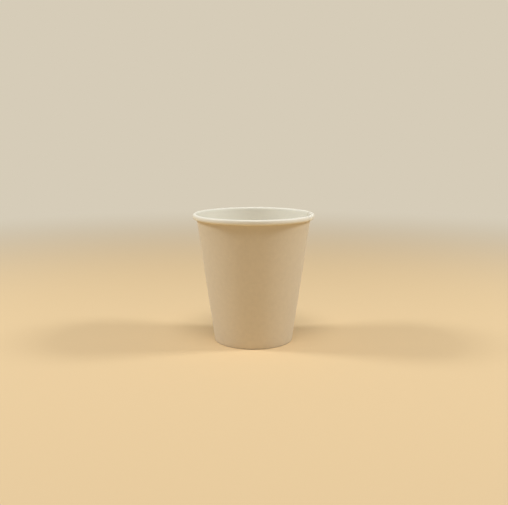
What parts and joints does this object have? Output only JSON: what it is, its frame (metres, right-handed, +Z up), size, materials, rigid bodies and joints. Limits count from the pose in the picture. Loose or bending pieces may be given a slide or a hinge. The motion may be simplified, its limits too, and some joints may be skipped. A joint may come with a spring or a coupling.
{
  "type": "paper cup",
  "caption": "Plain single-wall paper cup for hot drinks, with a rolled rim, a lapped side seam and a recessed bottom.",
  "frame": {"origin": "on the cup's axis, on the surface that the cup stands on", "axes": "+Z up along the cup's axis, out of its mouth; the side seam lies just past +X, towards +Y, and the picture looks along +Y"},
  "size_m": [0.09, 0.09, 0.096],
  "materials": {
    "wall_board": "matte",
    "bottom_board": "matte"
  },
  "bodies": {
    "root": {"sidewall": "wall_board", "bottom_disc": "bottom_board"}
  },
  "joints": []
}
